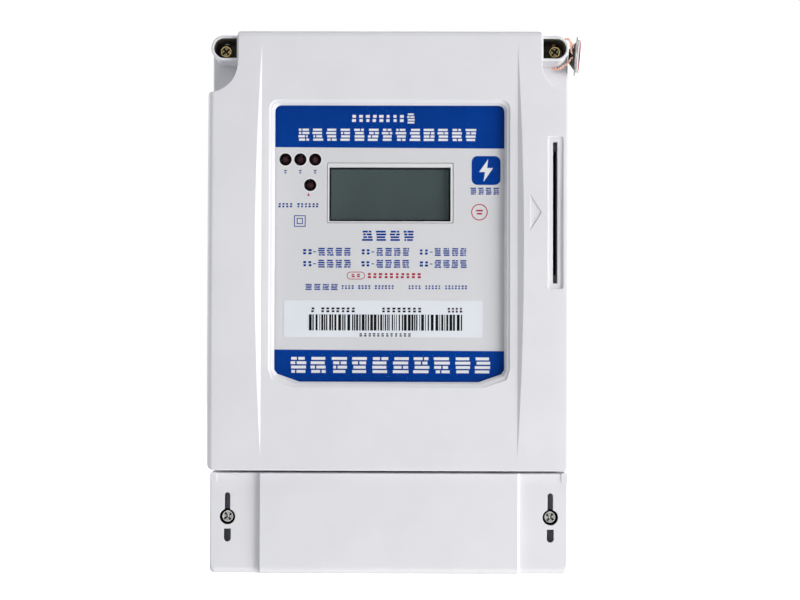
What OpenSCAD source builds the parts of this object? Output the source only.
// Three-phase prepaid electricity meter with a card slot, hung flat on a wall.
// X runs to the right, Z up and -Y out of the wall. The back face lies in y = 0, and the
// origin is that face's centre. A depth is a distance out from the wall, so y = -depth.

/* [Case] */
// Overall height
case_h = 240; // [238:0.5:242]
// Overall width
case_w = 160.6; // [160:0.1:161]
// Depth from the wall to the crown of the side wings
case_d = 75; // [74.5:0.5:76]
// Thickness of the moulded walls
wall = 2.5; // [2.2:0.1:2.8]
// Depth of the parting line between base and front cover
parting_d = 30; // [29.5:0.5:30.5]
// Height of the terminal compartment
terminal_h = 45; // [44.5:0.5:45.5]
// How far the side wings rise over the centre panel
wing_rise = 1.5; // [1:0.1:1.8]

/* [Window] */
// Width of the window opening
window_w = 101.4; // [99:0.2:101.6]
// Top edge of the window opening over the centre
window_top = 87; // [85:0.5:88]
// Bottom edge of the window opening under the centre
window_bottom = 35.2; // [33.4:0.2:35.4]

/* [Card slot] */
// Distance of the card's plane from the centre
card_x = 72.95; // [72.8:0.05:73.1]
// Width of the slot in the cover
slot_w = 2; // [1.6:0.1:2.4]
// Height of the slot in the cover
slot_h = 62.4; // [60:0.1:64]
// Height of the slot's centre
slot_z = 39.5; // [39:0.25:40.25]

/* [Ears] */
// Distance of the ear screws from the centre
ear_x = 73.7; // [73.5:0.1:73.8]
// Height of the ear screws
ear_z = 112.5; // [112:0.1:112.6]
// Radius of the ear's round end
ear_r = 5.6; // [5.4:0.1:5.8]
// Radius of the niche round each ear
niche_r = 12.8; // [12.2:0.1:12.8]

/* [Terminals] */
// Number of mains terminals
terminal_count = 8; // [8:1:8]
// Distance from one mains terminal to the next
terminal_pitch = 16.4; // [16.2:0.1:16.4]
// Radius of the cable bore in a mains terminal
cable_r = 4; // [3:0.1:4]
// Distance of the cover screws from the centre
cover_screw_x = 71.3; // [71.1:0.1:71.5]
// Height of the cover screws, below the centre
cover_screw_drop = 94.9; // [94.1:0.2:95.5]

/* [Seal] */
// Radius of the seal's rim
seal_r = 8.8; // [8:0.1:9]
// Lean of the seal from upright
seal_lean = 5; // [3:1:6]
// Radius of the seal wire
wire_r = 0.45; // [0.3:0.05:0.5]

/* [Hidden] */
$fn = 48;

// Clearance between pieces that come apart
gap = 0.3;
// Reach of a cut past the face that it opens
past = 1;
// Thickness of the base's back wall
back_t = 3;
corner_steps = 6;

top_z = case_h / 2;
bottom_z = -case_h / 2;
side_x = case_w / 2;
base_x = side_x - 0.9;
base_top = top_z - 1.5;
seam_z = bottom_z + terminal_h;
panel_d = case_d - wing_rise;
inner_d = panel_d - wall;
base_d = parting_d - 1;

niche_x = 67.5;
niche_z = 105.5;
niche_floor_d = 50;
niche_floor_t = 3;
// Thickness of the low wall round the niches
flange_wall = 1.4;
cover_bottom = seam_z + 0.6;
edge_r = 1.5;

// Radii of the base's pillars for the ear screws and the terminal cover's screws
ear_post_r = 4.2;
cover_post_r = 4.6;
cover_post_d = 36;
// The two ledges of the front cover that hold the terminal cover's top edge
lug_x = 70;
lug_half = 4;

wing_foot_x = 56.6;
wing_bulge = 2.7;
wing_z = 22.8;
wing_half = 91;

// The shallow recess round the card slot, and the arrow beside it
recess_x = [69.95, 76.3];
recess_half = 33.5;
recess_deep = 1;
arrow_x = [62, 67];
arrow_half = 7.9;
arrow_deep = 0.7;

ear_rim_d = panel_d - 2.5;
ear_seat_d = 50;
ear_wire_d = 53;
ear_head_d = 60;
pocket_r = 4.35;
screw_r = 1.95;
insert_r = 3;
insert_bore_r = 2;

terminal_front_d = 68;
terminal_rise = 2;
raised_x = 57.4;
cover_screw_z = -cover_screw_drop;
cover_seat_d = 61;
cover_head_d = 66;
cover_wire_d = 63.2;
seal_hole_r = 3.4;
// The slots over and under each cover screw
wire_slot_half = 1.2;
wire_slot_top = 10.7;
key_slot_half = 1.5;

block_x = 65.8;
block_top = -76;
// Top of the block's front part, under the terminal cover's top wall
block_front_top = -78.2;
block_step_d = 28.7;
aux_z = -81.1;
block_bottom = -107;
block_d = 46;
terminal_w = 11.4;
brass_top = -79;
brass_bottom = -105;
brass_d = 24;
bore_d = 15;
clamp_z = [-88, -99];
clamp_r = 2.5;
clamp_head_r = 3.6;
bar_w = 9;
bar_t = 1.5;
riser_foot = -84;

fixing_x = 58;
fixing_z = -113.5;
fixing_r = 2.6;
// The two screws that hold the terminal block to the base
block_screw_x = 2 * terminal_pitch;
block_screw_z = -93.5;

hook_w = 16.2;
hook_travel = 14;
hook_hole_z = 112;
hook_hole_r = 2.75;
peg_z = 103;
peg_slot_r = 1.3;

ct_r = 11.4;
ct_z = [-60, -48];
relay_x = [-66, 62];
relay_z = [-40, -4];
relay_d = [16, 34];
relay_wall = 1.5;
armature_pin_r = 1;
blade_z = -28;
blade_d = 28;
blade_t = 0.6;
pin_r = 0.8;
blade_pin = 3.2;
coil_x = 54;
coil_r = 6;
core_r = 2.6;
armature_x = 45;
armature_d = 25;
armature_arm = 12;
pusher_top = -19.6;

board_t = 1.6;
power_d = 9;
power_post_x = 50;
power_post_z = [14, 102];
display_d = 56;
post_x = 61;
post_z = [8, 90];
post_r = 3.4;
board_hole_r = 1.6;
// Depths of the ribbon cable's two plugs
plug_d = [power_d + board_t + 7, display_d - 7];
pilot_r = 1.3;
board_screw_r = 1.25;
socket_z = [7.3, 71.7];
socket_x = [68.6, 75.2];
card_h = 54.6;
card_w = 1.2;
// Height of the card switch and its button
button_z = slot_z + 14;

// Visible area of the display: from and to in X, from and to in Z
lcd_view = [-26.8, 27, 35.8, 59.8];
// Collar of its bezel, which stands in the nameplate's opening
lcd_collar = [-27.4, 28, 35.2, 61.5];
// The display's glass, its front face and its thickness
glass_box = [-29.4, 29.6, 33.2, 63];
glass_d = inner_d - 4;
glass_t = 2.8;
led_z = 63.1;
led_x = [-46.15, -39.6, -33];
pulse_x = -35.15;
pulse_z = 51.8;
led_r = 2.4;
label_box = [-46.6, 41.2, -15.5, 0.8];

seal_x = 83.4;
seal_turn = -5;
seal_z = 111.8;
cone_l = 3;
cone_r = [3.2, 6.2];
rim_t = 1;
disc_t = 0.8;
cap_t = 1.1;
// The wire's route in X, Z and depth: from the seal under the ear, up through it and back over it
wire_route = [[82.4, 111.1, 57.3], [81.4, 110.1, 57.4], [80, 108.4, 56], [77.4, 106.6, 54.2],
              [75.6, 105.9, 53.2], [ear_x, 106.2, ear_wire_d], [ear_x, 108, ear_wire_d],
              [ear_x, 112, ear_wire_d], [ear_x, 116, ear_wire_d], [ear_x, 118.2, ear_wire_d],
              [74.7, 119.3, ear_wire_d], [77.3, 119.6, 53.2], [79.9, 119.3, 54.4],
              [81, 117.8, 56.4], [81.1, 115.4, 57.8], [81.4, 113, 58.1], [82.4, 111.8, 57.6]];

function mirrored(half) = concat(half, [for (i = [len(half) - 1:-1:0]) [-half[i][0], half[i][1]]]);
function arc(x, z, r, from, to, n = corner_steps) =
    [for (i = [0:n]) let (a = from + (to - from) * i / n) [x + r * cos(a), z + r * sin(a)]];
function rounded(x0, x1, z0, z1, r) =
    concat(arc(x1 - r, z1 - r, r, 0, 90), arc(x0 + r, z1 - r, r, 90, 180),
           arc(x0 + r, z0 + r, r, 180, 270), arc(x1 - r, z0 + r, r, 270, 360));
// A rounded rectangle with its limits in one list, drawn out by a distance
function rounded_box(b, out, r) = rounded(b[0] - out, b[1] + out, b[2] - out, b[3] + out, r);
function terminal_x(i) = (i - (terminal_count - 1) / 2) * terminal_pitch;

// The cover's outline, drawn in by a distance
function cover_outline(in = 0) =
    let (r = max(0.5, edge_r - in), n = niche_r + in, x = side_x - in - r,
         end = acos((niche_x + niche_r - x) / n))
    mirrored(concat(arc(niche_x - in - r, top_z - in - r, r, 90, 0),
                    arc(niche_x + niche_r, niche_z, n, 180, 180 + end, 2 * corner_steps),
                    arc(x, niche_z - n * sin(end) - r, r, 90, 0),
                    arc(side_x - in - r, cover_bottom + in + r, r, 0, -90)));
// The gasket's outline, drawn in from the base's sides and from the seam
function gasket_outline(in, up, r) = rounded(in - base_x, base_x - in, seam_z + up, base_top - in, r);
// Outline of the low wall behind a niche, flush with the cover's side
function flange_outline(side, in) =
    [for (p = rounded(60 - in, side_x - in, 80 - in, base_top - in, 3 - in)) [side * p[0], p[1]]];
// The window's outline, drawn out by a distance, with its two bottom corners cut to a slant
function window_outline(out = 0) =
    let (x = window_w / 2 + out, r = 2.8)
    mirrored(concat(arc(x - r, window_top + out - r, r, 90, 0),
                    [[x, -window_bottom + 5.3], [x - 1.4, -window_bottom + 3.4 - out],
                     [x - 11.2, -window_bottom - out]]));
// The ear's outline: straight at the niche, round at the free end
function ear_outline(side, in) =
    [for (p = concat([[niche_x - 0.6 + 1.3 * in / 1.4, ear_z + ear_r - in]],
                     arc(ear_x, ear_z, ear_r - in, 90, -90, 16),
                     [[niche_x - 0.6 + 1.3 * in / 1.4, ear_z - ear_r + in]])) [side * p[0], p[1]]];
// The slot under a cover screw: square at the screw, round at its lower end
function key_slot(x) =
    concat([[x + key_slot_half, cover_screw_z - 5.3], [x - key_slot_half, cover_screw_z - 5.3]],
           arc(x, cover_screw_z - 9.5, key_slot_half, 180, 360, 10));
// A wing seen from the front, its foot bulging towards the wing's crown
function wing_outline() =
    concat([for (i = [0:16]) let (z = wing_z - wing_half + i * wing_half / 8)
                [wing_foot_x + wing_bulge * 0.5 * wing_height(z) / wing_rise, z]],
           [[side_x + 1, wing_z + wing_half], [side_x + 1, wing_z - wing_half]]);
// A wing seen from the side
function wing_profile() =
    concat([for (i = [0:24]) let (z = wing_z - wing_half + i * wing_half / 12) [-panel_d - wing_height(z), z]],
           [[-inner_d, wing_z + wing_half], [-inner_d, wing_z - wing_half]]);
// Height of a wing over the centre panel
function wing_height(z) = wing_rise * max(0, 1 - pow((z - wing_z) / wing_half, 2));

// The two limits at a distance to either side of a middle
function span(middle, half) = [middle - half, middle + half];
function unit(v) = v / norm(v);
function spline(a, b, c, d, t) =
    0.5 * (2 * b + (c - a) * t + (2 * a - 5 * b + 4 * c - d) * t * t
           + (3 * b - a - 3 * c + d) * t * t * t);
function smooth_route(p, n = 4) =
    concat([for (i = [0:len(p) - 2], k = [0:n - 1])
                spline(p[max(i - 1, 0)], p[i], p[i + 1], p[min(i + 2, len(p) - 1)], k / n)],
           [p[len(p) - 1]]);

// Extrudes an outline drawn in X and Z from one depth to another
module slab(d0, d1) translate([0, -d0, 0]) rotate([90, 0, 0]) linear_extrude(d1 - d0) children();
// A box between limits in X, Z and depth
module block(x, z, d) translate([x[0], -d[1], z[0]]) cube([x[1] - x[0], d[1] - d[0], z[1] - z[0]]);
// A round bar along the depth
module bar(x, z, d0, d1, r) translate([x, -d0, z]) rotate([90, 0, 0]) cylinder(r = r, h = d1 - d0);
// A round bar along Z
module upright(x, d, z0, z1, r) translate([x, -d, z0]) cylinder(r = r, h = z1 - z0);
// A round bar along X
module level(x0, x1, d, z, r) translate([x0, -d, z]) rotate([0, 90, 0]) cylinder(r = r, h = x1 - x0);
// A round wire along a route of points, its rings square to the reference direction
module wire(route, r, ref, sides = 8) {
    q = smooth_route(route);
    m = len(q);
    rings = [for (i = [0:m - 1])
        let (t = unit(q[min(i + 1, m - 1)] - q[max(i - 1, 0)]), u = unit(cross(t, ref)), v = cross(t, u))
        for (k = [0:sides - 1]) q[i] + r * (cos(360 * k / sides) * u + sin(360 * k / sides) * v)];
    around = [for (i = [0:m - 2], k = [0:sides - 1])
        let (a = i * sides + k, b = i * sides + (k + 1) % sides) [a, b, b + sides, a + sides]];
    ends = [[for (k = [sides - 1:-1:0]) k], [for (k = [0:sides - 1]) (m - 1) * sides + k]];
    polyhedron(rings, concat(around, ends), convexity = 8);
}
// A cross recess in a screw head
module cross_recess(x, z, d, deep, size, slot) {
    block([x - size / 2, x + size / 2], [z - slot / 2, z + slot / 2], [d - deep, d + past]);
    block([x - slot / 2, x + slot / 2], [z - size / 2, z + size / 2], [d - deep, d + past]);
}
// A cross-head screw; a wire hole of radius 0.8 crosses its head at depth hole_d if that is given
module screw(x, z, tip, seat, head, shank_r, head_r, hole_d = 0) {
    difference() {
        union() {
            bar(x, z, tip, seat, shank_r);
            bar(x, z, seat, head, head_r);
        }
        cross_recess(x, z, head, min(1.8, (head - seat) * 0.55), head_r * 1.35, head_r * 0.3);
        if (hole_d > 0) upright(x, hole_d, z - head_r - past, z + head_r + past, 0.8);
    }
}

module base() color("gainsboro") difference() {
    union() {
        difference() {
            slab(0, base_d) polygon(rounded(-base_x, base_x, bottom_z, base_top, 3));
            slab(back_t, base_d + past)
                polygon(rounded(wall - base_x, base_x - wall, seam_z + 2.1, base_top - wall, 1.5));
            block(span(0, base_x - wall), [bottom_z - past, seam_z - 0.5], [back_t, base_d + past]);
        }
        for (s = [-1, 1]) {
            bar(s * ear_x, ear_z, 2, niche_floor_d - niche_floor_t - gap, ear_post_r);
            bar(s * cover_screw_x, cover_screw_z, 2, cover_post_d, cover_post_r);
            for (z = post_z) bar(s * post_x, z, 2, display_d, post_r);
            for (z = power_post_z) bar(s * power_post_x, z, 2, power_d, 3);
        }
        block([-12, 12], [78, base_top - 0.5], [2, 5]);
        for (x = [-60, 56]) block(span(x, 3), [-33, -27], [2, relay_d[0]]);
    }
    for (s = [-1, 1]) {
        bar(s * ear_x, ear_z, 20, niche_floor_d, insert_r);
        bar(s * cover_screw_x, cover_screw_z, 18, cover_post_d + past, insert_r);
        bar(s * fixing_x, fixing_z, -past, back_t + past, fixing_r);
        bar(s * block_screw_x, block_screw_z, 0.8, back_t + past, 1.52);
        for (z = post_z) bar(s * post_x, z, display_d - 9, display_d + past, pilot_r);
        for (z = power_post_z) bar(s * power_post_x, z, back_t, power_d + past, pilot_r);
    }
    for (i = [0:terminal_count - 1])
        block(span(terminal_x(i), bar_w / 2 + 0.7), [seam_z - past, seam_z + back_t],
              [brass_d - gap, base_d + past]);
    difference() {
        union() {
            block([-7, 7], [80, base_top + past], [-past, 1]);
            block(span(0, hook_w / 2 + gap), [80, base_top + past], [0.6, 2.3]);
        }
        bar(0, peg_z, 0.6, 3, 1);
    }
}

module case_gasket() color("dimgray") difference() {
    slab(base_d, parting_d - gap) polygon(gasket_outline(0.4, 0.1, 2.6));
    slab(base_d - past, parting_d + past) polygon(gasket_outline(1.6, 1.3, 1.6));
}

module hanging_hook() color("silver") difference() {
    slab(0.8, 1.9) polygon(rounded(-hook_w / 2, hook_w / 2, 84, hook_hole_z + 6, 3));
    bar(0, hook_hole_z, 0, 3, hook_hole_r);
    slab(0, 3) polygon(concat(arc(0, peg_z, peg_slot_r, 0, 180, 12),
                              arc(0, peg_z - hook_travel, peg_slot_r, 180, 360, 12)));
}

module threaded_inserts() color("goldenrod") {
    for (s = [-1, 1]) difference() {
        bar(s * ear_x, ear_z, 22, niche_floor_d - niche_floor_t - gap, insert_r);
        bar(s * ear_x, ear_z, 21, niche_floor_d, insert_bore_r);
    }
    for (s = [-1, 1]) difference() {
        bar(s * cover_screw_x, cover_screw_z, 20, cover_post_d, insert_r);
        bar(s * cover_screw_x, cover_screw_z, 19, cover_post_d + past, insert_bore_r);
    }
}

// The side wings, crowned along their height and cut off by a straight foot
module wings() intersection() {
    slab(inner_d, case_d + past) polygon(cover_outline());
    for (s = [-1, 1]) slab(inner_d, case_d + past) polygon([for (p = wing_outline()) [s * p[0], p[1]]]);
    translate([-side_x - 1, 0, 0]) rotate([90, 0, 90]) linear_extrude(case_w + 2) polygon(wing_profile());
}

module front_cover() color("gainsboro") difference() {
    union() {
        difference() {
            union() {
                slab(parting_d, panel_d) polygon(cover_outline());
                for (s = [-1, 1]) slab(parting_d, niche_floor_d) polygon(flange_outline(s, 0));
            }
            slab(parting_d - past, inner_d) polygon(cover_outline(wall));
            for (s = [-1, 1]) slab(parting_d - past, niche_floor_d - niche_floor_t)
                polygon(flange_outline(s, flange_wall));
        }
        wings();
        for (s = [-1, 1]) slab(niche_floor_d - niche_floor_t, ear_rim_d) polygon(ear_outline(s, 0));
        for (x = [-lug_x, lug_x]) block(span(x, lug_half), [seam_z + 2.4, seam_z + 4.4], [24, 34]);
    }
    for (s = [-1, 1]) {
        slab(ear_seat_d, panel_d) polygon(ear_outline(s, ear_r - pocket_r));
        bar(s * ear_x, ear_z, parting_d, ear_seat_d + past, screw_r + 0.25);
        upright(s * ear_x, ear_wire_d, ear_z - 8, ear_z + 8, 1);
    }
    slab(inner_d - past, case_d) polygon(window_outline());
    slab(panel_d - 1, case_d) polygon(window_outline(2.35));
    slab(case_d - recess_deep, case_d + past)
        polygon(rounded_box([recess_x[0], recess_x[1], slot_z - recess_half, slot_z + recess_half], 0, 1));
    block(span(card_x, slot_w / 2), span(slot_z, slot_h / 2), [inner_d - past, case_d + past]);
    slab(case_d - arrow_deep, case_d + past)
        polygon([[arrow_x[0], slot_z - arrow_half], [arrow_x[1], slot_z],
                 [arrow_x[0], slot_z + arrow_half]]);
}

module window_lens() color("white", 0.3)
    slab(inner_d - 1, inner_d) polygon(window_outline(1.6));

module nameplate() color("lightgray") difference() {
    slab(inner_d - 2.2, inner_d - 1.2) polygon(window_outline(1.6));
    slab(inner_d - 3, inner_d) polygon(rounded_box(lcd_collar, gap, 0.5));
    for (x = led_x) bar(x, led_z, inner_d - 3, inner_d, led_r + gap);
    bar(pulse_x, pulse_z, inner_d - 3, inner_d, led_r + gap);
}

module barcode_label() color("aliceblue")
    slab(inner_d - 1.2, inner_d - 1.1) polygon(rounded_box(label_box, 0, 1));

module ear_screw_left() color("goldenrod")
    screw(-ear_x, ear_z, 24, ear_seat_d, ear_head_d, screw_r, 2.6, ear_wire_d);

module ear_screw_right() color("goldenrod")
    screw(ear_x, ear_z, 24, ear_seat_d, ear_head_d, screw_r, 2.6, ear_wire_d);

module terminal_cover() color("gainsboro") difference() {
    union() {
        difference() {
            union() {
                slab(base_d + gap, terminal_front_d)
                    polygon(rounded(-base_x, base_x, bottom_z, seam_z - gap, 2.2));
                slab(terminal_front_d - 2, terminal_front_d + terminal_rise)
                    polygon(rounded(-raised_x, raised_x, bottom_z, seam_z - gap, 1));
            }
            block(span(0, base_x - wall), [bottom_z - past, seam_z - gap - wall],
                  [base_d, terminal_front_d - wall]);
        }
        for (s = [-1, 1]) {
            bar(s * cover_screw_x, cover_screw_z, cover_post_d + 0.4, terminal_front_d - 1, 5);
            block(span(s * (base_x - 1.55), 1.25), [seam_z - 4.5, seam_z - gap],
                  [terminal_front_d - 1, terminal_front_d + 0.6]);
        }
    }
    for (s = [-1, 1]) {
        bar(s * cover_screw_x, cover_screw_z, cover_seat_d, terminal_front_d + past, seal_hole_r);
        bar(s * cover_screw_x, cover_screw_z, cover_post_d - past, cover_seat_d + past, screw_r + 0.25);
        block(span(s * cover_screw_x, wire_slot_half), [cover_screw_z, cover_screw_z + wire_slot_top],
              [cover_seat_d + 1, terminal_front_d + past]);
        slab(terminal_front_d - 4, terminal_front_d + past) polygon(key_slot(s * cover_screw_x));
    }
}

module wiring_label() color("white")
    slab(terminal_front_d - wall - 0.15, terminal_front_d - wall) polygon(rounded(-45, 45, -112, -83, 1.5));

module cover_screw_left() color("silver")
    screw(-cover_screw_x, cover_screw_z, 22, cover_seat_d, cover_head_d, screw_r, 2.65, cover_wire_d);

module cover_screw_right() color("silver")
    screw(cover_screw_x, cover_screw_z, 22, cover_seat_d, cover_head_d, screw_r, 2.65, cover_wire_d);

module terminal_block() color("#303236") difference() {
    union() {
        block([-block_x, block_x], [block_bottom, block_top], [3, block_step_d]);
        block([-block_x, block_x], [block_bottom, block_front_top], [block_step_d - past, block_d]);
    }
    for (i = [0:terminal_count - 1]) {
        x = terminal_x(i);
        block([x - terminal_w / 2, x + terminal_w / 2], [brass_bottom, brass_top], [3 - past, brass_d]);
        block(span(x, bar_w / 2 + 0.2), [riser_foot - 0.2, block_top + past],
              [brass_d - past, brass_d + bar_t + 0.2]);
        upright(x, bore_d, block_bottom - past, brass_bottom + past, cable_r + 1);
        for (z = clamp_z) {
            bar(x, z, brass_d - past, block_d, clamp_r + 0.2);
            bar(x, z, 38, block_d + past, clamp_head_r + 0.4);
        }
    }
    for (s = [-1, 1]) {
        bar(s * block_screw_x, block_screw_z, 2, 31, 1.75);
        bar(s * block_screw_x, block_screw_z, 30, block_d + past, 3.1);
    }
}

module mains_terminals() color("darkkhaki") for (i = [0:terminal_count - 1]) {
    x = terminal_x(i);
    difference() {
        block([x - terminal_w / 2, x + terminal_w / 2], [brass_bottom, brass_top], [7, brass_d]);
        upright(x, bore_d, brass_bottom - past, brass_top + past, cable_r);
        for (z = clamp_z) bar(x, z, bore_d, brass_d + past, clamp_r + 0.05);
    }
}

module clamp_screws() color("silver") for (i = [0:terminal_count - 1], z = clamp_z)
    screw(terminal_x(i), z, bore_d + cable_r + 0.6, 38, 42, clamp_r, clamp_head_r);

module block_screws() color("silver") for (s = [-1, 1])
    screw(s * block_screw_x, block_screw_z, 1, 30, 32.4, 1.5, 2.75);

module auxiliary_terminals() color("#2a2c30") difference() {
    block([-17, 17], [aux_z - 2.9, block_front_top], [block_d, block_d + 9]);
    for (i = [0:3]) {
        x = (i - 1.5) * 8;
        bar(x, aux_z, block_d + 3, block_d + 10, 2.2);
        upright(x, block_d + 2.4, aux_z - 4, aux_z + 1.9, 1.3);
    }
}

module auxiliary_screws() color("silver") for (i = [0:3])
    screw((i - 1.5) * 8, aux_z, block_d + 4, block_d + 5.4, block_d + 7.4, 1.2, 1.9);

// A copper bar from a mains terminal up to a height
module riser(i, z) block(span(terminal_x(i), bar_w / 2), [riser_foot, z], [brass_d, brass_d + bar_t]);

module input_bars() color("peru") for (i = [0, 2, 4]) {
    x = terminal_x(i);
    riser(i, -18);
    block([x - 3.5, x + 1.2], [blade_z - 5, blade_z + 5], [brass_d + bar_t, blade_d]);
    upright(x + blade_pin, blade_d + blade_t / 2, blade_z - 5, blade_z + 5, pin_r);
    for (z = [blade_z - 5, blade_z + 4])
        block([x + 1, x + blade_pin], [z, z + 1], [brass_d + bar_t, blade_d + 1]);
}

module output_bars() color("peru") for (i = [1, 3, 5]) {
    riser(i, blade_z + 4);
    bar(terminal_x(i), blade_z, brass_d + bar_t, brass_d + bar_t + 0.9, 2.6);
}

module neutral_link() color("peru") {
    riser(6, -61);
    riser(7, -61);
    block([terminal_x(6), terminal_x(7)], [-70, -61], [brass_d, brass_d + bar_t]);
}

// A ring current transformer round an input bar
module current_transformer(i) color("#20356b") difference() {
    union() {
        upright(terminal_x(i), brass_d + bar_t / 2, ct_z[0], ct_z[1], ct_r);
        block(span(terminal_x(i), 5), [ct_z[1] - 4, ct_z[1] + 2], [brass_d + 6.5, brass_d + 11]);
    }
    upright(terminal_x(i), brass_d + bar_t / 2, ct_z[0] - past, ct_z[1] + 3, 5.4);
}
module current_transformer_a() current_transformer(0);
module current_transformer_b() current_transformer(2);
module current_transformer_c() current_transformer(4);

module relay_case() color("#1d1f22") {
    difference() {
        block(relay_x, relay_z, relay_d);
        block([relay_x[0] + relay_wall, relay_x[1] - relay_wall],
              [relay_z[0] + relay_wall, relay_z[1] - relay_wall], [relay_d[0] + relay_wall, relay_d[1] + past]);
        for (i = [0:5])
            block(span(terminal_x(i), bar_w / 2 + gap),
                  [relay_z[0] - past, relay_z[0] + 2], [brass_d - gap, relay_d[1] + past]);
    }
    upright(armature_x, armature_d, relay_z[0] + 1, relay_z[1] - 1, armature_pin_r - 0.05);
}

module relay_lid() color("#3c4046") difference() {
    block(relay_x, relay_z, [relay_d[1], relay_d[1] + 1.3]);
    for (i = [0:2]) block([-56 + 33 * i, -30 + 33 * i], [-20, -12], [relay_d[1] + 0.8, relay_d[1] + 2]);
}

module relay_coil() color("chocolate") difference() {
    upright(coil_x, armature_d, -32, -12, coil_r);
    upright(coil_x, armature_d, -33, -11, core_r);
}

module relay_yoke() color("dimgray") difference() {
    union() {
        upright(coil_x, armature_d, -36, -8, core_r);
        for (z = [-38, -9]) block([40, coil_x + 3], [z, z + 3], [armature_d - 4, armature_d + 4]);
    }
    block([39, coil_x - 3], [-39, -5], [armature_d - 2.4, armature_d + 2.4]);
}

// The rocker turns on an upright pin and its arm drives the pusher
module relay_armature() color("slategray") {
    difference() {
        block([armature_x - 2.2, armature_x + 2.2], [-34, -10], [armature_d - 2.4, armature_d + 2.4]);
        upright(armature_x, armature_d, -35, -9, armature_pin_r);
    }
    block([armature_x - armature_arm, armature_x - 2], [-24, -20], [armature_d - 0.8, armature_d + 0.8]);
    upright(armature_x - armature_arm, armature_d, -24, -20, 0.9);
}

module relay_pusher() color("ivory") {
    arm_x = armature_x - armature_arm;
    block([-52, 35], [-22.4, pusher_top], [blade_d + 2.2, blade_d + 4]);
    for (i = [1, 3, 5]) {
        x = terminal_x(i) + 3.4;
        block([x, x + 2.2], [-33, pusher_top], [blade_d + blade_t + gap, blade_d + 4]);
        block([x, x + 2.2], [-33.6, -33], [blade_d - 1.2, blade_d + 4]);
        block([x, x + 2.2], [-33.6, -22], [blade_d - 1.2, blade_d - gap]);
    }
    for (x = [arm_x - 2.3, arm_x + 1.2])
        block([x, x + 1.1], [-24, pusher_top], [armature_d + 1.4, blade_d + 4]);
    block(span(arm_x, 2.3), [-24, pusher_top], [armature_d + 1.2, armature_d + 2.4]);
}

// A moving contact blade: an eye round its pin, a strip and a silver contact
module relay_blade(i) color("darkgoldenrod") {
    x = terminal_x(i) + blade_pin;
    difference() {
        union() {
            upright(x, blade_d + blade_t / 2, blade_z - 3.5, blade_z + 3.5, 1.6);
            block([x, x + 21], [blade_z - 3.5, blade_z + 3.5], [blade_d, blade_d + blade_t]);
        }
        upright(x, blade_d + blade_t / 2, blade_z - 5, blade_z + 5, pin_r + 0.06);
    }
    bar(terminal_x(i + 1), blade_z, brass_d + bar_t + 0.9 + gap, blade_d, 2.4);
}
module relay_blade_a() relay_blade(0);
module relay_blade_b() relay_blade(2);
module relay_blade_c() relay_blade(4);

module power_board() color("darkgreen") difference() {
    block([-56, 56], [8, 108], [power_d, power_d + board_t]);
    for (s = [-1, 1], z = power_post_z)
        bar(s * power_post_x, z, power_d - past, power_d + 3, board_hole_r);
}

module transformer_core() color("dimgray") difference() {
    block([-48, -12], [58, 98], [power_d + board_t + 3, power_d + board_t + 27]);
    for (z = [64, 84]) block([-42, -18], [z, z + 8], [0, 60]);
}

module transformer_coil() color("#c8a050") difference() {
    block([-41.9, -18.1], [64.1, 91.9], [power_d + board_t, power_d + board_t + 32]);
    block([-50, -10], [72, 84], [power_d + board_t + 3, power_d + board_t + 27]);
}

// Each capacitor: its place in X and Z, radius and height
module capacitors() color("#1e2a44")
    for (p = [[2, 92, 6.3, 20], [20, 92, 5, 16], [2, 72, 4, 11], [16, 74, 4, 11]])
    bar(p[0], p[1], power_d + board_t, power_d + board_t + p[3], p[2]);

module varistors() color("royalblue") for (i = [0:2])
    level(-45 + 14 * i, -40 + 14 * i, power_d + board_t + 10, 44, 7);

// Chips, a crystal and connectors: [x from, x to, z from, z to, height over the board]
module chips_on(d, side, list) for (c = list)
    block([c[0], c[1]], [c[2], c[3]], side > 0 ? [d, d + c[4]] : [d - c[4], d]);
module board_chips() color("#222222") {
    chips_on(power_d + board_t, 1, [[-8, 6, 46, 56, 2.6], [14, 24, 50, 58, 4], [30, 40, 50, 58, 4],
                                    [-14, 14, 14, 22, 9], [20, 46, 14, 22, 7], [34, 50, 84, 92, 9]]);
    chips_on(display_d, -1, [[-8, 8, 70, 86, 2.2], [20, 28, 72, 78, 2], [-30, -24, 74, 80, 2],
                             [20, 46, 12, 20, 7]]);
    level(14, 24, display_d - 2.2, 30, 2.2);
}

module display_board() color("darkgreen") difference() {
    block([-66, 66], [3, 95], [display_d, display_d + board_t]);
    for (s = [-1, 1], z = post_z) bar(s * post_x, z, display_d - past, display_d + 3, board_hole_r);
}

module clock_battery() color("seagreen") {
    upright(-46, display_d - 7.4, 22, 47, 7.2);
    upright(-46, display_d - 7.4, 47, 48.4, 2.4);
}

module buzzer() color("#1a1a1a") difference() {
    bar(48, 40, display_d - 7, display_d, 6);
    bar(48, 40, display_d - 8, display_d - 5, 1);
}

module lcd_bezel() color("white") difference() {
    union() {
        slab(display_d + board_t, inner_d - 2.2 - gap) polygon(rounded_box(glass_box, 0.8, 0.6));
        slab(glass_d, inner_d - 1.4) polygon(rounded_box(lcd_collar, 0, 0.4));
    }
    block([glass_box[0] - 0.1, glass_box[1] + 0.1], [glass_box[2] - 0.1, glass_box[3] + 0.1],
          [display_d, glass_d]);
    slab(display_d, inner_d) polygon(rounded_box(lcd_view, 0, 0.3));
}

module lcd_panel() color("darkslategray")
    block([glass_box[0], glass_box[1]], [glass_box[2], glass_box[3]], [glass_d - glass_t, glass_d]);

module lcd_backlight() color("honeydew")
    block([glass_box[0], glass_box[1]], [glass_box[2], glass_box[3]], [display_d + board_t, glass_d - glass_t]);

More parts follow.
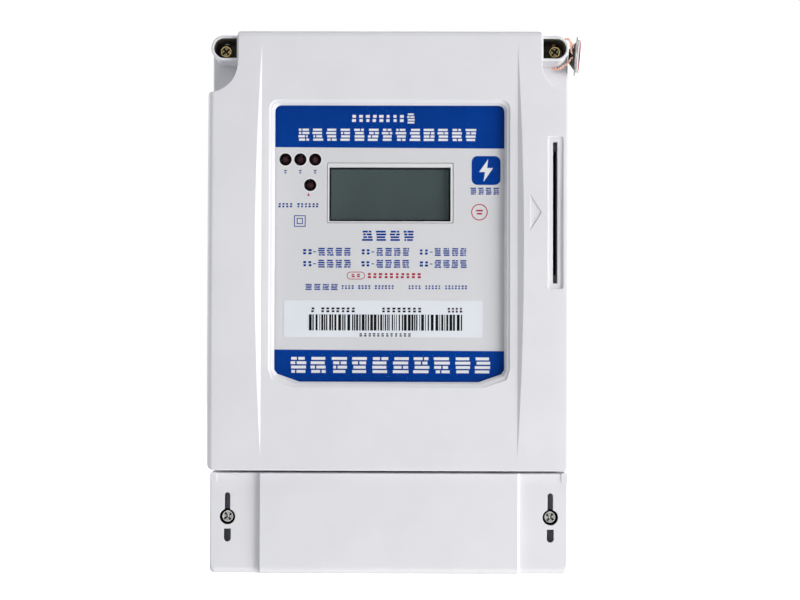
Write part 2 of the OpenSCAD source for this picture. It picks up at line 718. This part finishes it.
// A round indicator lamp on its two leads, with a domed front
module lamp(x, z) {
    bar(x, z, display_d + 5, inner_d - 1.8 - led_r, led_r);
    translate([x, -inner_d + 1.8 + led_r, z]) sphere(led_r);
    for (s = [-1, 1])
        block(span(x + s * 1.27, 0.3), span(z, 0.3), [display_d + board_t, display_d + 5]);
}
module phase_leds() color("firebrick") for (x = led_x) lamp(x, led_z);
module pulse_led() color("firebrick") lamp(pulse_x, pulse_z);

module board_screws() color("silver") {
    for (s = [-1, 1], z = post_z)
        screw(s * post_x, z, display_d - 7, display_d + board_t, display_d + board_t + 2, board_screw_r, 2.6);
    for (s = [-1, 1], z = power_post_z)
        screw(s * power_post_x, z, power_d - 5, power_d + board_t, power_d + board_t + 2, board_screw_r, 2.6);
}

module card_socket() color("#202226") difference() {
    union() {
        block(socket_x, socket_z, [20, inner_d - 1.4]);
        for (z = [18, 62]) block(socket_x, [z, z + 7], [3, 21]);
    }
    block(span(card_x, card_w / 2), span(slot_z, card_h / 2), [22, inner_d]);
    block([socket_x[0] - past, card_x], span(slot_z, 8), [40, 56]);
    block(span(card_x, 1.4), span(button_z, 2), [19, 23]);
}

module card_contacts() color("gold") {
    block([socket_x[0] + 1, card_x - card_w / 2 - 0.2], span(slot_z, 7.6), [40.4, 55.6]);
    for (d = [44, 51.6], i = [0:3])
        level(card_x - card_w / 2 - 0.4, card_x - 0.2, d, slot_z + (i - 1.5) * 2.54, 0.8);
}

module card_switch() color("#3a3a3a") difference() {
    block(span(card_x, 2.2), span(button_z, 5), [12, 20]);
    block(span(card_x, 0.9), span(button_z, 1.4), [13.5, 21]);
}

module card_switch_button() color("ivory")
    block(span(card_x, 0.55), span(button_z, 1.1), [16, 23.4]);

module ribbon_cable() color("lightslategray")
    translate([22, 0, 0]) rotate([90, 0, 90]) linear_extrude(22)
        polygon([[-plug_d[0], 17.5], [-plug_d[0] - 5, 18.5], [-34, 11.5], [4 - plug_d[1], 15.5],
                 [-plug_d[1], 15.5], [-plug_d[1], 16.3], [4.2 - plug_d[1], 16.3], [-34, 12.4],
                 [-plug_d[0] - 4.8, 19.4], [-plug_d[0], 18.3]]);

// The seal's own frame: its axis along X, leaning and turned a little to the front, by the ear
module at_seal()
    translate([seal_x, -ear_wire_d, seal_z])
        rotate([0, 0, seal_turn]) rotate([0, seal_lean, 0]) rotate([0, 90, 0]) children();
module seal_core() color("#161616") at_seal() {
    translate([0, 0, -cone_l]) cylinder(r1 = cone_r[0], r2 = cone_r[1], h = cone_l);
}
module seal_rim() color("lightgray") at_seal() cylinder(r = seal_r, h = rim_t);
module seal_disc() color("white") at_seal() translate([0, 0, rim_t]) cylinder(r = seal_r - 1.1, h = disc_t);
module seal_cap() color("crimson") at_seal()
    translate([0, 0, rim_t + disc_t]) cylinder(r = seal_r - 1.3, h = cap_t);

module seal_wire() color("peru")
    wire([for (p = wire_route) [p[0], -p[2], p[1]]], wire_r, [0, 1, 0]);

base();
case_gasket();
hanging_hook();
threaded_inserts();
front_cover();
window_lens();
nameplate();
barcode_label();
ear_screw_left();
ear_screw_right();
terminal_cover();
wiring_label();
cover_screw_left();
cover_screw_right();
terminal_block();
mains_terminals();
clamp_screws();
block_screws();
auxiliary_terminals();
auxiliary_screws();
input_bars();
output_bars();
neutral_link();
current_transformer_a();
current_transformer_b();
current_transformer_c();
relay_case();
relay_lid();
relay_coil();
relay_yoke();
relay_armature();
relay_pusher();
relay_blade_a();
relay_blade_b();
relay_blade_c();
power_board();
transformer_core();
transformer_coil();
capacitors();
varistors();
board_chips();
display_board();
clock_battery();
buzzer();
lcd_bezel();
lcd_panel();
lcd_backlight();
phase_leds();
pulse_led();
board_screws();
card_socket();
card_contacts();
card_switch();
card_switch_button();
ribbon_cable();
seal_core();
seal_rim();
seal_disc();
seal_cap();
seal_wire();
